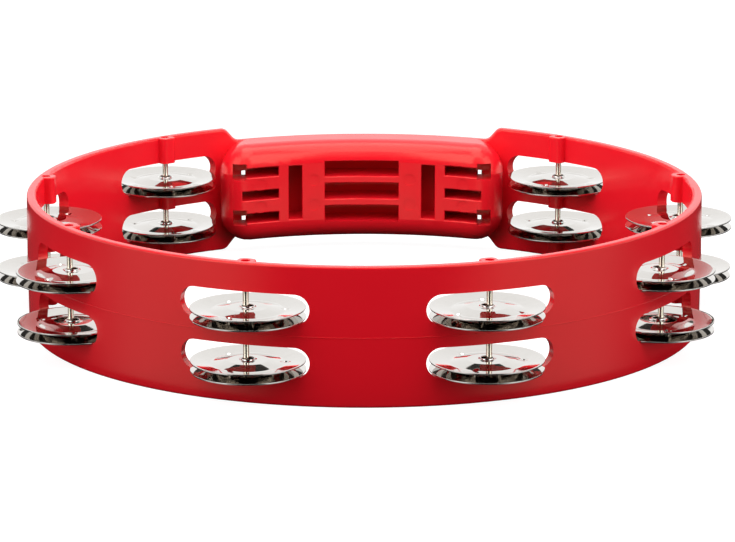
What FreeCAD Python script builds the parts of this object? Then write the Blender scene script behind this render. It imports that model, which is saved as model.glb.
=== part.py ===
import FreeCAD, Part
import math
import os

from FreeCAD import Vector

# A ten inch handheld tambourine: one moulded ring with a cored handle, eight long pins,
# and sixteen pairs of loose steel jingles, two pairs on each pin. All sizes are in millimetres.
# The ring is modelled round the Z axis with its bottom rim at Z = 0, its handle on +Y and its
# front on -Y. At the end everything moves so that the origin is under the middle of the whole
# object, jingles included.

# Ring, widest at the parting line half way up, where its two moulded halves meet
RING_RADIUS = 127.0
RING_HEIGHT = 50.2
WALL = 3.8
DRAFT_ANGLE = 0.6
RIM_ROUND = 0.9
RING_BORE = RING_RADIUS - WALL
MID_HEIGHT = RING_HEIGHT / 2
RIM_RADIUS = RING_RADIUS - MID_HEIGHT * math.tan(math.radians(DRAFT_ANGLE))

# Pin columns: nine equal places round the ring, the ninth taken by the handle
PLACE_ANGLE = 360.0 / 9
HANDLE_PLACE = 4
COLUMN_NAMES = ("front_left", "left_front", "left_rear", "rear_left",
                "rear_right", "right_rear", "right_front", "front_right")
PIN_CIRCLE = 123.4
PIN_RADIUS = 1.1
PIN_CHAMFER = 0.28
PIN_BORE_CLEARANCE = 0.05
PIN_FLOOR = 2.0
PIN_RECESS = 2.4
PIN_MOUTH_RADIUS = 1.7
BOSS_HALF_WIDTH = 3.3
BOSS_REACH = 3.6
BOSS_CORNER = 2.2
BOSS_END_ROUND = 0.45
BOSS_BACK_RADIUS = RING_BORE + WALL / 2

# Jingle slots, an upper and a lower row
SLOT_HEIGHT = 10.8
SLOT_LENGTH = 47.8
SLOT_OFFSET = 9.45
SLOT_ROWS = {"lower": MID_HEIGHT - SLOT_OFFSET, "upper": MID_HEIGHT + SLOT_OFFSET}

# Jingle, a pressed sheet: raised hub, valley and flared rim, with a lip round the hole
JINGLE_RADIUS = 20.25
SHEET = 0.5
HOLE_RADIUS = 2.1
LIP_THICKNESS = 0.4
HUB_RADIUS = 7.0
HUB_BEND = 5.0
VALLEY_RADIUS = 13.0
VALLEY_BEND = 4.0
PAIR_HALF_GAP = 0.25
HUB_RISE = 1.1
RIM_RISE = 1.2
LIP_RISE = 1.75
DIMPLE_COUNT = 3
DIMPLE_RADIUS = 2.0
DIMPLE_DEPTH = 0.45
DIMPLE_WALL = 0.3
PAIR_TURN = 60.0
PAIR_LIFT = 2.6

# Handle
HANDLE_FACE_RADIUS = 107.4
HANDLE_HEIGHT = 39.8
HANDLE_HALF_WIDTH = 57.4
HANDLE_CORNER = 11.0
HANDLE_ROUND = 8.1
SHOULDER_OUTER = 55.8
SHOULDER_INNER = 51.6
SHOULDER_ROUND = 3.5

# Pockets that core the handle out from its inner face; places are across (X) and up from mid height
POCKET_FLOOR_RADIUS = RING_RADIUS - 4.2
GROOVE_PITCH = 9.35
CENTRE_GROOVE = {"half_length": 15.0, "height": 6.5}
CROSS_GROOVE = {"near": 24.3, "far": 29.7, "height": 22.2}
SIDE_GROOVE = {"near": 33.8, "far": 46.8, "far_middle": 48.4, "height": 3.9}
CORNER_POCKET = {"near": 46.6, "far": 52.2, "height": 6.6, "up": 9.45, "rise": 0.4}
CORNER_FLOOR_RADIUS = HANDLE_FACE_RADIUS + 12.0
VENT = {"near": 47.5, "far": 49.2, "height": 3.5, "drop": 3.5}
MOUTH_ROUND = 0.4
EJECTOR_RADIUS = 2.4
EJECTOR_DEPTH = 0.25
EJECTOR_PLACES = ((19.4, 4.8), (19.4, -5.5), (41.0, 4.1), (41.0, -5.0))

# Lengths under this count as none when edges are picked out
TOUCH = 0.01

# The farthest jingle edge in front and the handle's back set how far the ring moves forward
FRONT_REACH = PIN_CIRCLE * math.cos(math.radians(PLACE_ANGLE / 2)) + JINGLE_RADIUS
CENTRE_SHIFT = (FRONT_REACH - RING_RADIUS) / 2


def column_angle(index):
    """Angle of a pin column round Z, in degrees from +X, clockwise from the front past the handle."""
    place = index if index < HANDLE_PLACE else index + 1
    return -90 - PLACE_ANGLE / 2 - PLACE_ANGLE * place


def at_column(shape, index):
    """Turn a shape that was drawn on the +X side to its pin column."""
    turned = shape.copy()
    turned.rotate(Vector(0, 0, 0), Vector(0, 0, 1), column_angle(index))
    return turned


def block(x_range, y_range, z_range):
    """A box from its limits along each axis."""
    size = [high - low for low, high in (x_range, y_range, z_range)]
    return Part.makeBox(*size, Vector(x_range[0], y_range[0], z_range[0]))


def rounded_line(points, radii, closed):
    """Edges of a line through points in the XZ plane, with tangent arcs at the corners that radii names."""
    count = len(points)
    stops = []
    for index, corner in enumerate(points):
        if index not in radii:
            stops.append((corner, None, corner))
            continue
        radius = radii[index]
        before = (points[index - 1] - corner).normalize()
        after = (points[(index + 1) % count] - corner).normalize()
        half_angle = before.getAngle(after) / 2
        reach = radius / math.tan(half_angle)
        bisector = (before + after).normalize()
        middle = corner + bisector * (radius / math.sin(half_angle) - radius)
        stops.append((corner + before * reach, middle, corner + after * reach))
    edges = []
    for index, (start, middle, end) in enumerate(stops):
        if middle is not None:
            edges.append(Part.Arc(start, middle, end).toShape())
        following = stops[(index + 1) % count][0]
        last = index + 1 == count
        if (closed or not last) and end.distanceToPoint(following) > TOUCH:
            edges.append(Part.LineSegment(end, following).toShape())
    return edges


def rounded_prism(points, radii, low, high):
    """A prism along Y over a closed outline in the XZ plane whose corners are rounded."""
    face = Part.Face(Part.Wire(rounded_line(points, radii, closed=True)))
    face.translate(Vector(0, low, 0))
    return face.extrude(Vector(0, high - low, 0))


def shoulder_notch(side):
    """What the sloped shoulders leave free above (side 1) or below (side -1) the handle."""
    rim = MID_HEIGHT + side * RING_HEIGHT / 2
    step = (RING_HEIGHT - HANDLE_HEIGHT) / 2
    slope = math.atan2(step, SHOULDER_OUTER - SHOULDER_INNER)
    crest_end = SHOULDER_OUTER + SHOULDER_ROUND * math.tan(slope / 2)
    beyond = rim + side * step
    floor = rim - side * step
    points = [Vector(-crest_end, 0, beyond), Vector(-crest_end, 0, rim), Vector(-SHOULDER_OUTER, 0, rim),
              Vector(-SHOULDER_INNER, 0, floor), Vector(SHOULDER_INNER, 0, floor),
              Vector(SHOULDER_OUTER, 0, rim), Vector(crest_end, 0, rim), Vector(crest_end, 0, beyond)]
    arcs = {2: SHOULDER_ROUND, 3: SHOULDER_ROUND, 4: SHOULDER_ROUND, 5: SHOULDER_ROUND}
    return rounded_prism(points, arcs, 0, 2 * RING_RADIUS)


def ring_wall():
    """The ring's drafted wall with rounded rims, cut down by sloped shoulders at the handle."""
    lower = Part.makeCone(RIM_RADIUS, RING_RADIUS, MID_HEIGHT)
    upper = Part.makeCone(RING_RADIUS, RIM_RADIUS, MID_HEIGHT, Vector(0, 0, MID_HEIGHT))
    wall = lower.fuse(upper).cut(Part.makeCylinder(RING_BORE, RING_HEIGHT))
    wall = wall.cut([shoulder_notch(side) for side in (-1, 1)])
    rims = [edge for edge in wall.Edges if is_rim(edge)]
    return wall.makeFillet(RIM_ROUND, rims)


def is_rim(edge):
    """True for an edge that runs along the inner or outer corner of a rim."""
    middle = edge.valueAt((edge.FirstParameter + edge.LastParameter) / 2)
    radius = math.hypot(middle.x, middle.y)
    on_bore = abs(radius - RING_BORE) < TOUCH
    on_outside = RIM_RADIUS - TOUCH < radius < RING_RADIUS - TOUCH
    return (on_bore or on_outside) and edge.BoundBox.ZLength < RING_HEIGHT / 3


def handle_pad():
    """The thick inner part of the handle: a curved pillow that runs into the ring's wall."""
    buried = RING_BORE + WALL / 2
    low = MID_HEIGHT - HANDLE_HEIGHT / 2
    sector = Part.makeCylinder(buried, HANDLE_HEIGHT, Vector(0, 0, low))
    sector = sector.cut(Part.makeCylinder(HANDLE_FACE_RADIUS, HANDLE_HEIGHT, Vector(0, 0, low)))
    wide = HANDLE_HALF_WIDTH
    high = low + HANDLE_HEIGHT
    points = [Vector(-wide, 0, low), Vector(wide, 0, low), Vector(wide, 0, high), Vector(-wide, 0, high)]
    outline = rounded_prism(points, dict.fromkeys(range(4), HANDLE_CORNER), 0, RING_RADIUS)
    pad = sector.common(outline)
    face_edges = [edge for edge in pad.Edges if is_on_face(edge)]
    return pad.makeFillet(HANDLE_ROUND, face_edges)


def is_on_face(edge):
    """True for an edge round the handle's inner face."""
    middle = edge.valueAt((edge.FirstParameter + edge.LastParameter) / 2)
    return abs(math.hypot(middle.x, middle.y) - HANDLE_FACE_RADIUS) < TOUCH


def pocket(near, far, up, height, floor_radius):
    """A pocket sunk along +Y into the handle's face, down to a floor that follows the ring."""
    half = height / 2
    box = block((near, far), (0, RING_RADIUS), (MID_HEIGHT + up - half, MID_HEIGHT + up + half))
    return box.common(Part.makeCylinder(floor_radius, RING_HEIGHT))


def side_pockets(side):
    """The grooves and corner pockets on one side of the handle; side is -1 or 1."""
    cuts = []
    cross = sorted((side * CROSS_GROOVE["near"], side * CROSS_GROOVE["far"]))
    cuts.append(pocket(*cross, 0, CROSS_GROOVE["height"], POCKET_FLOOR_RADIUS))
    for row in (-1, 0, 1):
        far = SIDE_GROOVE["far_middle"] if row == 0 else SIDE_GROOVE["far"]
        groove = sorted((side * SIDE_GROOVE["near"], side * far))
        cuts.append(pocket(*groove, row * GROOVE_PITCH, SIDE_GROOVE["height"], POCKET_FLOOR_RADIUS))
    corner = sorted((side * CORNER_POCKET["near"], side * CORNER_POCKET["far"]))
    for row in (-1, 1):
        up = row * CORNER_POCKET["up"] + CORNER_POCKET["rise"]
        cuts.append(pocket(*corner, up, CORNER_POCKET["height"], CORNER_FLOOR_RADIUS))
    return cuts


def ejector_marks():
    """Shallow round marks on the handle's face."""
    marks = []
    for side in (-1, 1):
        for across, up in EJECTOR_PLACES:
            centre = Vector(side * across, 0, MID_HEIGHT + up)
            rod = Part.makeCylinder(EJECTOR_RADIUS, RING_RADIUS, centre, Vector(0, 1, 0))
            marks.append(rod.common(Part.makeCylinder(HANDLE_FACE_RADIUS + EJECTOR_DEPTH, RING_HEIGHT)))
    return marks


def vents():
    """A small window from the floor of each corner pocket through the ring's wall."""
    half = VENT["height"] / 2
    start = math.sqrt(CORNER_FLOOR_RADIUS ** 2 - VENT["far"] ** 2)
    windows = []
    for side in (-1, 1):
        across = sorted((side * VENT["near"], side * VENT["far"]))
        for row in (-1, 1):
            middle = MID_HEIGHT + row * CORNER_POCKET["up"] + CORNER_POCKET["rise"] - VENT["drop"]
            windows.append(block(across, (start, RING_RADIUS), (middle - half, middle + half)))
    return windows


def cored_pad():
    """The handle's inner part with its pockets sunk in and their mouths rounded."""
    half = CENTRE_GROOVE["half_length"]
    cuts = [pocket(-half, half, row * GROOVE_PITCH, CENTRE_GROOVE["height"], POCKET_FLOOR_RADIUS)
            for row in (-1, 0, 1)]
    for side in (-1, 1):
        cuts.extend(side_pockets(side))
    pad = handle_pad().cut(cuts)
    mouths = [edge for edge in pad.Edges if is_mouth(pad, edge)]
    return pad.makeFillet(MOUTH_ROUND, mouths)


def is_mouth(pad, edge):
    """True for an edge where a pocket's flat side meets the handle's inner face."""
    flat = [isinstance(face.Surface, Part.Plane) for face in pad.ancestorsOfType(edge, Part.Face)]
    return is_on_face(edge) and any(flat) and not all(flat)


def boss():
    """A rib with rounded corners on the inside of the wall that holds a pin, on the +X side."""
    tip = PIN_CIRCLE - BOSS_REACH
    rib = block((tip, RING_RADIUS), (-BOSS_HALF_WIDTH, BOSS_HALF_WIDTH), (0, RING_HEIGHT))
    corners = [edge for edge in rib.Edges if is_boss_corner(edge, tip)]
    rib = rib.makeFillet(BOSS_CORNER, corners)
    rib = rib.common(Part.makeCylinder(BOSS_BACK_RADIUS, RING_HEIGHT))
    ends = [edge for edge in rib.Edges if is_boss_end(edge)]
    return rib.makeFillet(BOSS_END_ROUND, ends)


def is_boss_corner(edge, tip):
    """True for an upright edge at the free side of a boss."""
    middle = edge.BoundBox.Center
    return edge.BoundBox.ZLength > RING_HEIGHT - TOUCH and abs(middle.x - tip) < TOUCH


def is_boss_end(edge):
    """True for the edges round either end of a boss, apart from its back."""
    middle = edge.valueAt((edge.FirstParameter + edge.LastParameter) / 2)
    flat = edge.BoundBox.ZLength < TOUCH
    return flat and math.hypot(middle.x, middle.y) < BOSS_BACK_RADIUS - TOUCH


def column_cuts():
    """The two slots and the pin's bore of one column, on the +X side."""
    cuts = []
    end_radius = SLOT_HEIGHT / 2
    half_straight = SLOT_LENGTH / 2 - end_radius
    inside = PIN_CIRCLE - 2 * BOSS_REACH
    depth = RING_RADIUS + WALL - inside
    for height in SLOT_ROWS.values():
        middle = block((inside, inside + depth), (-half_straight, half_straight),
                       (height - end_radius, height + end_radius))
        ends = [Part.makeCylinder(end_radius, depth, Vector(inside, side * half_straight, height), Vector(1, 0, 0))
                for side in (-1, 1)]
        cuts.append(middle.fuse(ends).removeSplitter())
    bore_radius = PIN_RADIUS + PIN_BORE_CLEARANCE
    cuts.append(Part.makeCylinder(bore_radius, RING_HEIGHT, Vector(PIN_CIRCLE, 0, PIN_FLOOR)))
    cuts.append(Part.makeCylinder(PIN_MOUTH_RADIUS, PIN_RECESS, Vector(PIN_CIRCLE, 0, RING_HEIGHT - PIN_RECESS)))
    return cuts


def frame():
    """The moulded ring and handle, one solid."""
    body = ring_wall().fuse(cored_pad())
    bosses = [at_column(boss(), index) for index in range(len(COLUMN_NAMES))]
    body = body.fuse(bosses)
    cuts = vents() + ejector_marks()
    for index in range(len(COLUMN_NAMES)):
        cuts.extend(at_column(cut, index) for cut in column_cuts())
    return body.cut(cuts).Solids[0]


def pin():
    """A plain steel pin on the +X side, from the blind end of its bore to just under the rim."""
    top = RING_HEIGHT - PIN_RECESS
    rod = Part.makeCylinder(PIN_RADIUS, top - PIN_FLOOR, Vector(PIN_CIRCLE, 0, PIN_FLOOR))
    ends = [edge for edge in rod.Edges if edge.BoundBox.ZLength < TOUCH]
    return rod.makeChamfer(PIN_CHAMFER, ends)


def sheet_points(offset):
    """Corners of the sheet's section from the lip to the rim, raised by an offset."""
    hub = PAIR_HALF_GAP + HUB_RISE + offset
    valley = PAIR_HALF_GAP + offset
    rim = PAIR_HALF_GAP + RIM_RISE + offset
    return [Vector(HOLE_RADIUS + LIP_THICKNESS, 0, hub), Vector(HUB_RADIUS, 0, hub),
            Vector(VALLEY_RADIUS, 0, valley), Vector(JINGLE_RADIUS, 0, rim)]


def jingle():
    """One jingle round the Z axis, its lip upwards and its valley just above Z = 0."""
    under = sheet_points(0.0)
    over = sheet_points(SHEET)
    bends = {1: HUB_BEND, 2: VALLEY_BEND}
    lip_top = PAIR_HALF_GAP + LIP_RISE + SHEET
    lip = [over[0], Vector(HOLE_RADIUS + LIP_THICKNESS, 0, lip_top), Vector(HOLE_RADIUS, 0, lip_top),
           Vector(HOLE_RADIUS, 0, under[0].z), under[0]]
    edges = rounded_line(under, bends, closed=False) + rounded_line(over, bends, closed=False)
    edges.append(Part.LineSegment(under[-1], over[-1]).toShape())
    edges.extend(Part.LineSegment(start, end).toShape() for start, end in zip(lip, lip[1:]))
    face = Part.Face(Part.Wire(Part.__sortEdges__(edges)))
    disc = face.revolve(Vector(0, 0, 0), Vector(0, 0, 1), 360)
    return with_dimples(disc, over[2].z)


def with_dimples(disc, valley_top):
    """The disc with round dimples pressed down along its valley, each a pip on the underside."""
    above = valley_top + DIMPLE_RADIUS - DIMPLE_DEPTH
    slab = Part.makeCylinder(JINGLE_RADIUS, valley_top + SHEET, Vector(0, 0, -SHEET))
    for number in range(DIMPLE_COUNT):
        turn = 2 * math.pi * number / DIMPLE_COUNT
        centre = Vector(VALLEY_RADIUS * math.cos(turn), VALLEY_RADIUS * math.sin(turn), above)
        pip = Part.makeSphere(DIMPLE_RADIUS + DIMPLE_WALL, centre).common(slab)
        disc = disc.fuse(pip).cut(Part.makeSphere(DIMPLE_RADIUS, centre))
    return disc.Solids[0]


def pair_height(row):
    """Height of the plane where the two jingles of a pair meet."""
    return SLOT_ROWS[row] - SLOT_HEIGHT / 2 + PAIR_LIFT


def jingles():
    """All jingles by name: each slot's bottom one lies lip down, its top one lip up."""
    top = jingle()
    bottom = top.copy()
    bottom.rotate(Vector(0, 0, 0), Vector(1, 0, 0), 180)
    bottom.rotate(Vector(0, 0, 0), Vector(0, 0, 1), PAIR_TURN)
    placed = {}
    for index, column in enumerate(COLUMN_NAMES):
        for row in SLOT_ROWS:
            for level, shape in (("bottom", bottom), ("top", top)):
                copy = shape.copy()
                copy.translate(Vector(PIN_CIRCLE, 0, pair_height(row)))
                placed[f"jingle_{column}_{row}_{level}"] = at_column(copy, index)
    return placed


def build():
    """Every node by name, with the origin under the middle of the whole object."""
    nodes = {"frame": frame()}
    for index, column in enumerate(COLUMN_NAMES):
        nodes[f"pin_{column}"] = at_column(pin(), index)
    nodes.update(jingles())
    for shape in nodes.values():
        shape.translate(Vector(0, CENTRE_SHIFT, 0))
    return nodes


os.makedirs("parts", exist_ok=True)
for name, shape in build().items():
    shape.exportStep(f"parts/{name}.step")
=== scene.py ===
import math
import random

import bpy
from mathutils import Matrix, Vector


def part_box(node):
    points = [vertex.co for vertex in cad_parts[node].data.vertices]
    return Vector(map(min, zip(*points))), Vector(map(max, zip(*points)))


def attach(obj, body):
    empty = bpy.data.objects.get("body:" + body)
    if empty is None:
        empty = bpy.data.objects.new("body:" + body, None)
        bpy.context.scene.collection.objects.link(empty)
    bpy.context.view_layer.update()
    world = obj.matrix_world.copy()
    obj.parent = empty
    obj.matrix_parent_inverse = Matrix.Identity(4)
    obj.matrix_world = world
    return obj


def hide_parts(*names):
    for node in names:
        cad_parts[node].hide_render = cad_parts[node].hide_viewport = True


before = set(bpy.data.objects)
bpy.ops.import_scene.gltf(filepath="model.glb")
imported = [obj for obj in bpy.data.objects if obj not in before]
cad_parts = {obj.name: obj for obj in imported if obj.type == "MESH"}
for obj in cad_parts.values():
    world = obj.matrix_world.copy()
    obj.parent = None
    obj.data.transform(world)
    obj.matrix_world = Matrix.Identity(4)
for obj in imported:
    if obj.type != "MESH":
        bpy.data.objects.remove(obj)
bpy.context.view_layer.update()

MM = 0.001

# The ring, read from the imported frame
FRAME_LOW, FRAME_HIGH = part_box("frame")
RING_RADIUS = (FRAME_HIGH.x - FRAME_LOW.x) / 2
RING_HEIGHT = FRAME_HIGH.z - FRAME_LOW.z
RING_MIDDLE = Vector(((FRAME_LOW.x + FRAME_HIGH.x) / 2, FRAME_LOW.y + RING_RADIUS,
                      FRAME_LOW.z + RING_HEIGHT / 2))

# Camera: a long lens a little above the rim, turned slightly off the handle's centre line
CAMERA_DISTANCE = 10.655 * RING_RADIUS
CAMERA_ELEVATION = math.radians(13.823)
CAMERA_TURN = math.radians(-0.6255)
CAMERA_AIM = Vector((0.0095, 0, -0.0578)) * RING_RADIUS
CAMERA_LENS = 174.84
CAMERA_SENSOR = 36.0
CAMERA_CLIP = (0.05, 50.0)

# Floor, the dark table just under it and the card inside the ring
FLOOR_HALF_SIZE = 6.0
FLOOR_DROP = 0.05 * MM
FLOOR_GREY = (0.3, 0.3, 0.3, 1)
FLOOR_GLOW = 0.9
TABLE_RADIUS = 1.04 * RING_RADIUS
TABLE_STEPS = 96
TABLE_DROP = 0.1 * MM
TABLE_GREY = (0.04, 0.04, 0.04, 1)
CARD_HALF_WIDTH = 0.27 * RING_RADIUS
CARD_FRONT = -0.45 * RING_RADIUS
CARD_BACK = 0.55 * RING_RADIUS
CARD_GLOW = 0.9

# Surroundings. A direction's "toward" is the cosine of its turn from the camera's side, and its
# "height" is the sine of its elevation. The light changes smoothly between the two of each pair
SURROUND_RADIANCE = 1.15
DARKEST = 0.02
NEARLY_UPRIGHT = 0.001
DARK_WINDOW_TOWARD = (0.9, 0.66)
BEHIND_TOWARD = (-0.2, -0.6)
CEILING_HEIGHT = (0.3, 0.5)
CEILING_LEVEL = 0.2
HORIZON_HEIGHT = (-0.08, 0.02)
BELOW_TOWARD = (-0.3, 0.2)
BELOW_LEVELS = (0.04, 0.32)
LOW_SIDE_TOWARD = (-0.5, -0.1)
LOW_SIDE_HEIGHT = (0.12, 0.3)
LOW_SIDE_GAIN = 1.8
WHITE = (1, 1, 1, 1)

# Soft boxes, in metres and radiance, with their places from the ring's middle
TOP_BOX = {"offset": Vector((0, -0.015, 0.165)), "width": 0.26, "depth": 0.36, "radiance": 2.65}
SHEEN_BOX = {"offset": Vector((0, 0, 0.6)), "width": 0.4, "depth": 0.75, "radiance": 2.4}
SIDE_BOX = {"width": 1.0, "depth": 1.2, "radiance": 1.95}
SIDE_BOX_DISTANCE = 1.5
SIDE_BOX_AZIMUTH = math.radians(48)
SIDE_BOX_ELEVATION = math.radians(33)

# How deep reflections between the jingles go
GLOSSY_BOUNCES = 8

# Jingle sheet: a raised hub, a valley and a flared rim, from the part's own design
SHEET = 0.5 * MM
HOLE_RADIUS = 2.1 * MM
LIP_WIDTH = 0.45 * MM
LIP_RISE = 1.75 * MM
HUB_RADIUS = 7.0 * MM
HUB_BEND = 5.0 * MM
HUB_RISE = 1.1 * MM
VALLEY_RADIUS = 13.0 * MM
VALLEY_BEND = 4.0 * MM
PAIR_HALF_GAP = 0.25 * MM
RIM_RISE = 1.2 * MM
EDGE_ROUND = 0.1 * MM
DIMPLE_COUNT = 3
DIMPLE_HALF_WIDTH = 1.35 * MM
DIMPLE_DEPTH = 0.42 * MM
DIMPLE_FALLOFF = 1.5
BEND_STEPS = 7
EDGE_STEPS = 3
SECTION_GAP = 0.9 * MM

# Degrees between a jingle mesh's sections: fine within reach of a dimple, coarse elsewhere
FINE_REACH = 9
FINE_STEP = 1
COARSE_STEP = 3

# How the loose pairs have settled on their pins: a sideways shift in millimetres, a lean towards
# the camera in degrees, and the turn in degrees of the top jingle in the lower and upper rows
HANGS = {
    "front_left": (0.65, 0.0, {"lower": 3, "upper": 2}),
    "left_front": (0.8, 0.3, {"lower": 35, "upper": -7}),
    "left_rear": (0.7, 0.3, {"lower": 25, "upper": 60}),
    "rear_left": (0.0, 0.6, {"lower": 47, "upper": 45}),
    "rear_right": (0.0, 0.3, {"lower": 30, "upper": 4}),
    "right_rear": (-0.6, 0.2, {"lower": -15, "upper": 26}),
    "right_front": (-0.8, 0.0, {"lower": 40, "upper": 45}),
    "front_right": (-0.65, 0.0, {"lower": 10, "upper": -24}),
}

# Small random differences between the pairs, in millimetres and degrees
HANG_SEED = 7
SIDEWAYS_SPREAD = 0.05
BACKWARD_SHIFT = (0.05, 0.3)
TILT_SPREAD = 0.15

# The raised line left where the mould's halves met
FLASH_REACH = 0.12 * MM
FLASH_HALF_WIDTH = 0.16 * MM
FLASH_SINK = 0.01 * MM
FLASH_SHOULDER = 0.6
FLASH_STEPS = 540

# Colours, from the darker to the lighter end of each material's pattern
RED_RANGE = ((0.74, 0.0066, 0.0162, 1), (0.76, 0.0074, 0.0178, 1))
RED_SHEEN = (1.0, 0.84, 0.62, 1)
NICKEL_RANGE = ((0.60, 0.575, 0.545, 1), (0.68, 0.66, 0.63, 1))
PIN_RANGE = ((0.72, 0.66, 0.54, 1), (0.86, 0.81, 0.70, 1))

# Depth of the fine relief on the plastic and the pins, and of the jingles' slow waves
FINE_RELIEF = 0.01 * MM
WAVE_RELIEF = 0.03 * MM
RELIEF_STRENGTH = 0.2


class Nodes:
    """A node tree that is built up with short calls."""

    def __init__(self, tree):
        self.tree = tree
        tree.nodes.clear()

    def add(self, kind, inputs=None, **settings):
        """A new node; inputs maps socket names or numbers to values or to other nodes' outputs."""
        node = self.tree.nodes.new(kind)
        for name, value in settings.items():
            setattr(node, name, value)
        for socket, value in (inputs or {}).items():
            if isinstance(value, bpy.types.NodeSocket):
                self.tree.links.new(value, node.inputs[socket])
            else:
                node.inputs[socket].default_value = value
        return node

    def math(self, operation, *values):
        """The output of one Math node."""
        return self.add("ShaderNodeMath", dict(enumerate(values)), operation=operation).outputs[0]

    def ramp_between(self, value, low, high, out_low=0.0, out_high=1.0):
        """value mapped from low..high to out_low..out_high with a smooth step, clamped."""
        inputs = {"Value": value, "From Min": low, "From Max": high, "To Min": out_low, "To Max": out_high}
        return self.add("ShaderNodeMapRange", inputs, interpolation_type="SMOOTHSTEP").outputs["Result"]

    def noise(self, vector, scale, detail=3.0, roughness=0.5):
        """The value of a noise texture over a vector."""
        inputs = {"Vector": vector, "Scale": scale, "Detail": detail, "Roughness": roughness}
        return self.add("ShaderNodeTexNoise", inputs).outputs["Fac"]

    def mix_colours(self, factor, first, second):
        """A colour between two colours; sockets 6 and 7 of a Mix node are its colours, output 2 their mix."""
        return self.add("ShaderNodeMix", {0: factor, 6: first, 7: second}, data_type="RGBA").outputs[2]

    def relief(self, height, depth):
        """A normal bent as if the surface rose and fell with height, by up to depth."""
        inputs = {"Strength": RELIEF_STRENGTH, "Distance": depth, "Height": height}
        return self.add("ShaderNodeBump", inputs).outputs["Normal"]

    def object_place(self):
        """The place on the object, in metres."""
        return self.add("ShaderNodeTexCoord").outputs["Object"]

    def surface(self, shader):
        """Make a shader node the material's surface."""
        self.add("ShaderNodeOutputMaterial", {"Surface": shader.outputs[0]})


def new_material(name):
    """An empty node material and its node builder."""
    material = bpy.data.materials.new(name)
    material.use_nodes = True
    return material, Nodes(material.node_tree)


def red_plastic():
    """Glossy moulded ABS: faint flow clouds in the red, an uneven polish and a fine mould grain."""
    material, nodes = new_material("moulded_red_plastic")
    place = nodes.object_place()
    clouds = nodes.noise(place, scale=28.0)
    specks = nodes.noise(place, scale=900.0, detail=2.0)
    wear = nodes.noise(place, scale=60.0, detail=5.0)
    polish = nodes.ramp_between(wear, low=0.3, high=0.7, out_low=0.2, out_high=0.25)
    nodes.surface(nodes.add("ShaderNodeBsdfPrincipled", {
        "Base Color": nodes.mix_colours(clouds, *RED_RANGE), "Roughness": polish, "IOR": 1.5,
        "Specular Tint": RED_SHEEN, "Normal": nodes.relief(specks, FINE_RELIEF)}))
    return material


def jingle_plate():
    """Bright nickel plate over pressed steel: nearly a mirror, with slight waves and a haze."""
    material, nodes = new_material("bright_nickel_plate")
    place = nodes.object_place()
    haze = nodes.noise(place, scale=240.0, detail=6.0, roughness=0.65)
    waves = nodes.noise(place, scale=110.0, detail=2.0)
    polish = nodes.ramp_between(haze, low=0.35, high=0.75, out_low=0.03, out_high=0.09)
    nodes.surface(nodes.add("ShaderNodeBsdfPrincipled", {
        "Base Color": nodes.mix_colours(haze, *NICKEL_RANGE), "Metallic": 1.0, "Roughness": polish,
        "Normal": nodes.relief(waves, WAVE_RELIEF)}))
    return material


def pin_steel():
    """Drawn wire with a warm plate: fine lines along its length."""
    material, nodes = new_material("drawn_pin_steel")
    along_pin = (1.0, 1.0, 0.03)
    mapping = nodes.add("ShaderNodeMapping", {"Vector": nodes.object_place(), "Scale": along_pin})
    lines = nodes.noise(mapping.outputs["Vector"], scale=2600.0)
    polish = nodes.ramp_between(lines, low=0.3, high=0.7, out_low=0.12, out_high=0.24)
    nodes.surface(nodes.add("ShaderNodeBsdfPrincipled", {
        "Base Color": nodes.mix_colours(lines, *PIN_RANGE), "Metallic": 1.0, "Roughness": polish,
        "Normal": nodes.relief(lines, FINE_RELIEF)}))
    return material


def give_material(piece, material):
    """Make a material the only one of a piece."""
    piece.data.materials.clear()
    piece.data.materials.append(material)


def rounded_line(corners, radii):
    """Points along a line through corners (radius, height), bent by tangent arcs and evenly filled in."""
    stops = [[Vector(corners[0])]]
    for index in range(1, len(corners) - 1):
        corner = Vector(corners[index])
        before = (Vector(corners[index - 1]) - corner).normalized()
        after = (Vector(corners[index + 1]) - corner).normalized()
        half_angle = before.angle(after) / 2
        radius = radii[index]
        reach = radius / math.tan(half_angle)
        centre = corner + (before + after).normalized() * (radius / math.sin(half_angle))
        start = corner + before * reach - centre
        end = corner + after * reach - centre
        arc = []
        for step in range(BEND_STEPS + 1):
            share = step / BEND_STEPS
            arc.append(centre + (start * (1 - share) + end * share).normalized() * radius)
        stops.append(arc)
    stops.append([Vector(corners[-1])])
    line = []
    for before, after in zip(stops, stops[1:]):
        line.extend(before)
        span = (after[0] - before[-1]).length
        pieces = max(1, round(span / SECTION_GAP))
        line.extend(before[-1].lerp(after[0], step / pieces) for step in range(1, pieces))
    line.extend(stops[-1])
    return line


def quarter_round(centre, radius, start_angle):
    """Points of a quarter turn, anticlockwise from a start angle in degrees."""
    angles = [math.radians(start_angle + 90 * step / EDGE_STEPS) for step in range(EDGE_STEPS + 1)]
    return [Vector((centre[0] + radius * math.cos(a), centre[1] + radius * math.sin(a))) for a in angles]


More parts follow.
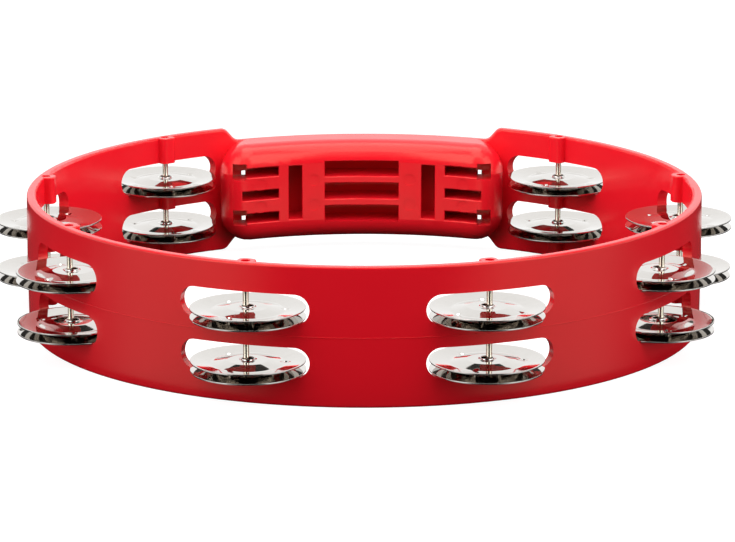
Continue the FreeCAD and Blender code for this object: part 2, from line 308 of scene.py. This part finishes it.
def jingle_section(radius):
    """A jingle's closed section, (radius, height) points from under the hub, out, back and round the lip."""
    lip_outer = HOLE_RADIUS + LIP_WIDTH
    hub = PAIR_HALF_GAP + HUB_RISE
    rim = PAIR_HALF_GAP + RIM_RISE
    corners = [(lip_outer, hub), (HUB_RADIUS, hub), (VALLEY_RADIUS, PAIR_HALF_GAP), (radius, rim)]
    under = rounded_line(corners, (0, HUB_BEND, VALLEY_BEND, 0))
    over = [point + Vector((0, SHEET)) for point in under]
    edge_low = radius - EDGE_ROUND
    edge = quarter_round((edge_low, rim + EDGE_ROUND), EDGE_ROUND, -90)
    edge += quarter_round((edge_low, rim + SHEET - EDGE_ROUND), EDGE_ROUND, 0)
    lip_round = LIP_WIDTH / 2
    lip_top = PAIR_HALF_GAP + LIP_RISE + SHEET - lip_round
    lip = quarter_round((HOLE_RADIUS + lip_round, lip_top), lip_round, 0)
    lip += quarter_round((HOLE_RADIUS + lip_round, lip_top), lip_round, 90)[1:]
    return under[:-1] + edge + list(reversed(over[:-1])) + lip + [Vector((HOLE_RADIUS, hub))]


def jingle_angles():
    """Angles round a jingle, close together where the dimples are."""
    pitch = 360 / DIMPLE_COUNT
    angles = []
    angle = 0
    while angle < 360:
        angles.append(math.radians(angle))
        from_dimple = min(angle % pitch, pitch - angle % pitch)
        angle += FINE_STEP if from_dimple < FINE_REACH else COARSE_STEP
    return angles


def dimple_drop(x, y):
    """How far the sheet is pressed down at a place by the nearest dimple."""
    drop = 0.0
    for number in range(DIMPLE_COUNT):
        turn = 2 * math.pi * number / DIMPLE_COUNT
        away = math.hypot(x - VALLEY_RADIUS * math.cos(turn), y - VALLEY_RADIUS * math.sin(turn))
        share = away / DIMPLE_HALF_WIDTH
        if share < 1:
            drop = DIMPLE_DEPTH * (1 - share * share) ** DIMPLE_FALLOFF
    return drop


def jingle_mesh(name, radius, flip):
    """One jingle round Z over the pair's meeting plane, lip up, or turned over when flip is True."""
    section = jingle_section(radius)
    angles = jingle_angles()
    points = []
    for angle in angles:
        for reach, height in section:
            x = reach * math.cos(angle)
            y = reach * math.sin(angle)
            z = height - dimple_drop(x, y)
            points.append((x, -y, -z) if flip else (x, y, z))
    faces = []
    count = len(section)
    for column in range(len(angles)):
        following = (column + 1) % len(angles)
        for row in range(count):
            above = (row + 1) % count
            faces.append((column * count + row, following * count + row,
                          following * count + above, column * count + above))
    mesh = bpy.data.meshes.new(name)
    mesh.from_pydata(points, [], faces)
    mesh.shade_smooth()
    mesh.validate()
    return mesh


def place_jingle(node, mesh, plane, turn, hang):
    """A jingle that stands for its CAD node, hung on its pin as its pair's matrix says."""
    low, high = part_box(node)
    centre = Vector(((low.x + high.x) / 2, (low.y + high.y) / 2, plane))
    piece = bpy.data.objects.new(node + "_plate", mesh.copy())
    bpy.context.scene.collection.objects.link(piece)
    piece.data.transform(Matrix.Translation(centre) @ hang @ Matrix.Rotation(turn, 4, "Z"))
    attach(piece, node)
    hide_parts(node)
    return piece


def jingles(material):
    """All the jingles, in pairs, each pair hanging in its own way."""
    rng = random.Random(HANG_SEED)
    tops = sorted(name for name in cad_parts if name.endswith("_top"))
    low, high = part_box(tops[0])
    radius = (high.x - low.x) / 2
    meshes = {"top": jingle_mesh("jingle_top", radius, flip=False),
              "bottom": jingle_mesh("jingle_bottom", radius, flip=True)}
    for mesh in meshes.values():
        mesh.materials.append(material)
    for top in tops:
        bottom = top.replace("_top", "_bottom")
        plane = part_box(top)[0].z
        column, row = top[len("jingle_"):-len("_top")].rsplit("_", 1)
        sideways, lean, turns = HANGS[column]
        across = sideways + rng.uniform(-SIDEWAYS_SPREAD, SIDEWAYS_SPREAD)
        shift = Vector((across * MM, rng.uniform(*BACKWARD_SHIFT) * MM, 0))
        forward = Matrix.Rotation(math.radians(lean + rng.uniform(-TILT_SPREAD, TILT_SPREAD)), 4, "X")
        aside = Matrix.Rotation(math.radians(rng.uniform(-TILT_SPREAD, TILT_SPREAD)), 4, "Y")
        hang = Matrix.Translation(shift) @ forward @ aside
        place_jingle(top, meshes["top"], plane, math.radians(turns[row]), hang)
        place_jingle(bottom, meshes["bottom"], plane, rng.uniform(0, 2 * math.pi), hang)


def parting_line(material):
    """The fine raised line round the outside, half way up; it is flush at the back of the handle."""
    section = [(-FLASH_REACH, -1.0), (FLASH_SHOULDER * FLASH_REACH, -FLASH_SHOULDER), (FLASH_REACH, 0.0),
               (FLASH_SHOULDER * FLASH_REACH, FLASH_SHOULDER), (-FLASH_REACH, 1.0)]
    points = []
    for step in range(FLASH_STEPS):
        angle = 2 * math.pi * step / FLASH_STEPS
        proud = (1 - math.sin(angle)) / 2
        for out, up in section:
            reach = RING_RADIUS - FLASH_SINK + (out * proud if out > 0 else out)
            points.append(RING_MIDDLE + Vector((reach * math.cos(angle), reach * math.sin(angle),
                                                up * FLASH_HALF_WIDTH)))
    count = len(section)
    faces = []
    for step in range(FLASH_STEPS):
        here = step * count
        there = (step + 1) % FLASH_STEPS * count
        for row in range(count):
            above = (row + 1) % count
            faces.append((here + row, there + row, there + above, here + above))
    mesh = bpy.data.meshes.new("parting_line")
    mesh.from_pydata(points, [], faces)
    mesh.shade_smooth()
    mesh.validate()
    mesh.materials.append(material)
    piece = bpy.data.objects.new("parting_line", mesh)
    bpy.context.scene.collection.objects.link(piece)
    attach(piece, "frame")


def camera():
    """The camera, aimed from in front and a little above."""
    data = bpy.data.cameras.new("camera")
    data.lens = CAMERA_LENS
    data.sensor_width = CAMERA_SENSOR
    data.clip_start, data.clip_end = CAMERA_CLIP
    item = bpy.data.objects.new("camera", data)
    bpy.context.scene.collection.objects.link(item)
    turn = Matrix.Rotation(CAMERA_TURN, 3, "Z")
    forward = Vector((0, math.cos(CAMERA_ELEVATION), -math.sin(CAMERA_ELEVATION)))
    item.location = RING_MIDDLE + turn @ (CAMERA_AIM - forward * CAMERA_DISTANCE)
    item.rotation_euler = (turn @ forward).to_track_quat("-Z", "Y").to_euler()
    bpy.context.scene.camera = item


def flat_piece(name, outline, height, material):
    """A level face over an outline of (x, y) points."""
    mesh = bpy.data.meshes.new(name)
    mesh.from_pydata([(x, y, height) for x, y in outline], [], [range(len(outline))])
    mesh.materials.append(material)
    item = bpy.data.objects.new(name, mesh)
    bpy.context.scene.collection.objects.link(item)
    return item


def dark_table():
    """A dark round table just under the floor that only reflections and bounced light see."""
    angles = [2 * math.pi * step / TABLE_STEPS for step in range(TABLE_STEPS)]
    outline = [(TABLE_RADIUS * math.cos(angle), TABLE_RADIUS * math.sin(angle)) for angle in angles]
    material, nodes = new_material("dark_table")
    nodes.surface(nodes.add("ShaderNodeBsdfDiffuse", {"Color": TABLE_GREY}))
    item = flat_piece("dark_table", outline, FRAME_LOW.z - TABLE_DROP, material)
    item.visible_camera = False


def reflector_card():
    """A bright card lying inside the ring that only shows as a sheen on the handle's face."""
    outline = [(-CARD_HALF_WIDTH, CARD_FRONT), (CARD_HALF_WIDTH, CARD_FRONT),
               (CARD_HALF_WIDTH, CARD_BACK), (-CARD_HALF_WIDTH, CARD_BACK)]
    material, nodes = new_material("reflector_card")
    nodes.surface(nodes.add("ShaderNodeEmission", {"Color": WHITE, "Strength": CARD_GLOW}))
    item = flat_piece("reflector_card", outline, FRAME_LOW.z, material)
    item.visible_camera = False
    item.visible_diffuse = False
    item.visible_shadow = False


def floor():
    """A plain pale floor under the ring that catches its shadow."""
    size = FLOOR_HALF_SIZE
    outline = [(-size, -size), (size, -size), (size, size), (-size, size)]
    material, nodes = new_material("pale_floor")
    matt = nodes.add("ShaderNodeBsdfDiffuse", {"Color": FLOOR_GREY})
    glow = nodes.add("ShaderNodeEmission", {"Color": WHITE, "Strength": FLOOR_GLOW})
    nodes.surface(nodes.add("ShaderNodeAddShader", {0: matt.outputs[0], 1: glow.outputs[0]}))
    item = flat_piece("floor", outline, FRAME_LOW.z - FLOOR_DROP, material)
    item.visible_diffuse = False
    item.visible_glossy = False
    item.visible_shadow = False


def studio():
    """White surroundings at the back and the sides, dim above and dark towards the camera."""
    world = bpy.data.worlds.new("studio")
    bpy.context.scene.world = world
    world.use_nodes = True
    nodes = Nodes(world.node_tree)
    direction = nodes.add("ShaderNodeTexCoord").outputs["Generated"]
    parts = nodes.add("ShaderNodeSeparateXYZ", {0: direction}).outputs
    x, y, z = parts[0], parts[1], parts[2]
    level = nodes.math("SQRT", nodes.math("ADD", nodes.math("MULTIPLY", x, x), nodes.math("MULTIPLY", y, y)))
    level = nodes.math("MAXIMUM", level, NEARLY_UPRIGHT)
    toward = nodes.math("DIVIDE", nodes.math("MULTIPLY", y, -1.0), level)
    beside = nodes.ramp_between(toward, *DARK_WINDOW_TOWARD)
    behind = nodes.ramp_between(toward, *BEHIND_TOWARD)
    ceiling = nodes.ramp_between(z, *CEILING_HEIGHT, 1.0, CEILING_LEVEL)
    above = nodes.math("MAXIMUM", behind, ceiling)
    below = nodes.ramp_between(toward, *BELOW_TOWARD, *BELOW_LEVELS)
    above_share = nodes.ramp_between(z, *HORIZON_HEIGHT)
    below_share = nodes.math("SUBTRACT", 1.0, above_share)
    heights = nodes.math("ADD", nodes.math("MULTIPLY", above_share, above),
                         nodes.math("MULTIPLY", below_share, below))
    low_side = nodes.math("MULTIPLY", nodes.ramp_between(toward, *LOW_SIDE_TOWARD),
                          nodes.ramp_between(z, *LOW_SIDE_HEIGHT, LOW_SIDE_GAIN - 1, 0.0))
    levels = nodes.math("MULTIPLY", heights, nodes.math("ADD", low_side, 1.0))
    walls = nodes.math("MULTIPLY", nodes.math("MULTIPLY", beside, levels), SURROUND_RADIANCE)
    total = nodes.math("MAXIMUM", walls, DARKEST)
    lit = nodes.add("ShaderNodeBackground", {"Color": WHITE, "Strength": total})
    plain = nodes.add("ShaderNodeBackground", {"Color": WHITE, "Strength": 1.0})
    seen = nodes.add("ShaderNodeLightPath").outputs["Is Camera Ray"]
    mixed = nodes.add("ShaderNodeMixShader", {0: seen, 1: lit.outputs[0], 2: plain.outputs[0]})
    nodes.add("ShaderNodeOutputWorld", {"Surface": mixed.outputs[0]})


def soft_box(name, offset, width, depth, radiance):
    """A rectangular soft box at an offset from the ring's middle, facing it."""
    data = bpy.data.lights.new(name, "AREA")
    data.shape = "RECTANGLE"
    data.size = width
    data.size_y = depth
    data.energy = radiance * math.pi * width * depth
    item = bpy.data.objects.new(name, data)
    bpy.context.scene.collection.objects.link(item)
    item.visible_camera = False
    item.location = RING_MIDDLE + offset
    item.rotation_euler = (-offset).to_track_quat("-Z", "Y").to_euler()
    return item


def soft_boxes():
    """A low box over the ring, a higher one seen only in reflections, and a tall one on each side."""
    top = soft_box("top_box", **TOP_BOX)
    top.visible_glossy = False
    sheen = soft_box("sheen_box", **SHEEN_BOX)
    sheen.visible_diffuse = False
    out = math.sin(SIDE_BOX_AZIMUTH) * math.cos(SIDE_BOX_ELEVATION)
    forward = math.cos(SIDE_BOX_AZIMUTH) * math.cos(SIDE_BOX_ELEVATION)
    up = math.sin(SIDE_BOX_ELEVATION)
    for name, side in (("side_box_left", -1), ("side_box_right", 1)):
        offset = SIDE_BOX_DISTANCE * Vector((side * out, -forward, up))
        soft_box(name, offset, **SIDE_BOX)


plastic = red_plastic()
steel = pin_steel()
for name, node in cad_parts.items():
    if name == "frame":
        give_material(node, plastic)
    elif name.startswith("pin_"):
        give_material(node, steel)
parting_line(plastic)
jingles(jingle_plate())
camera()
floor()
dark_table()
reflector_card()
studio()
soft_boxes()
bpy.context.scene.view_settings.view_transform = "Standard"
bpy.context.scene.cycles.glossy_bounces = GLOSSY_BOUNCES
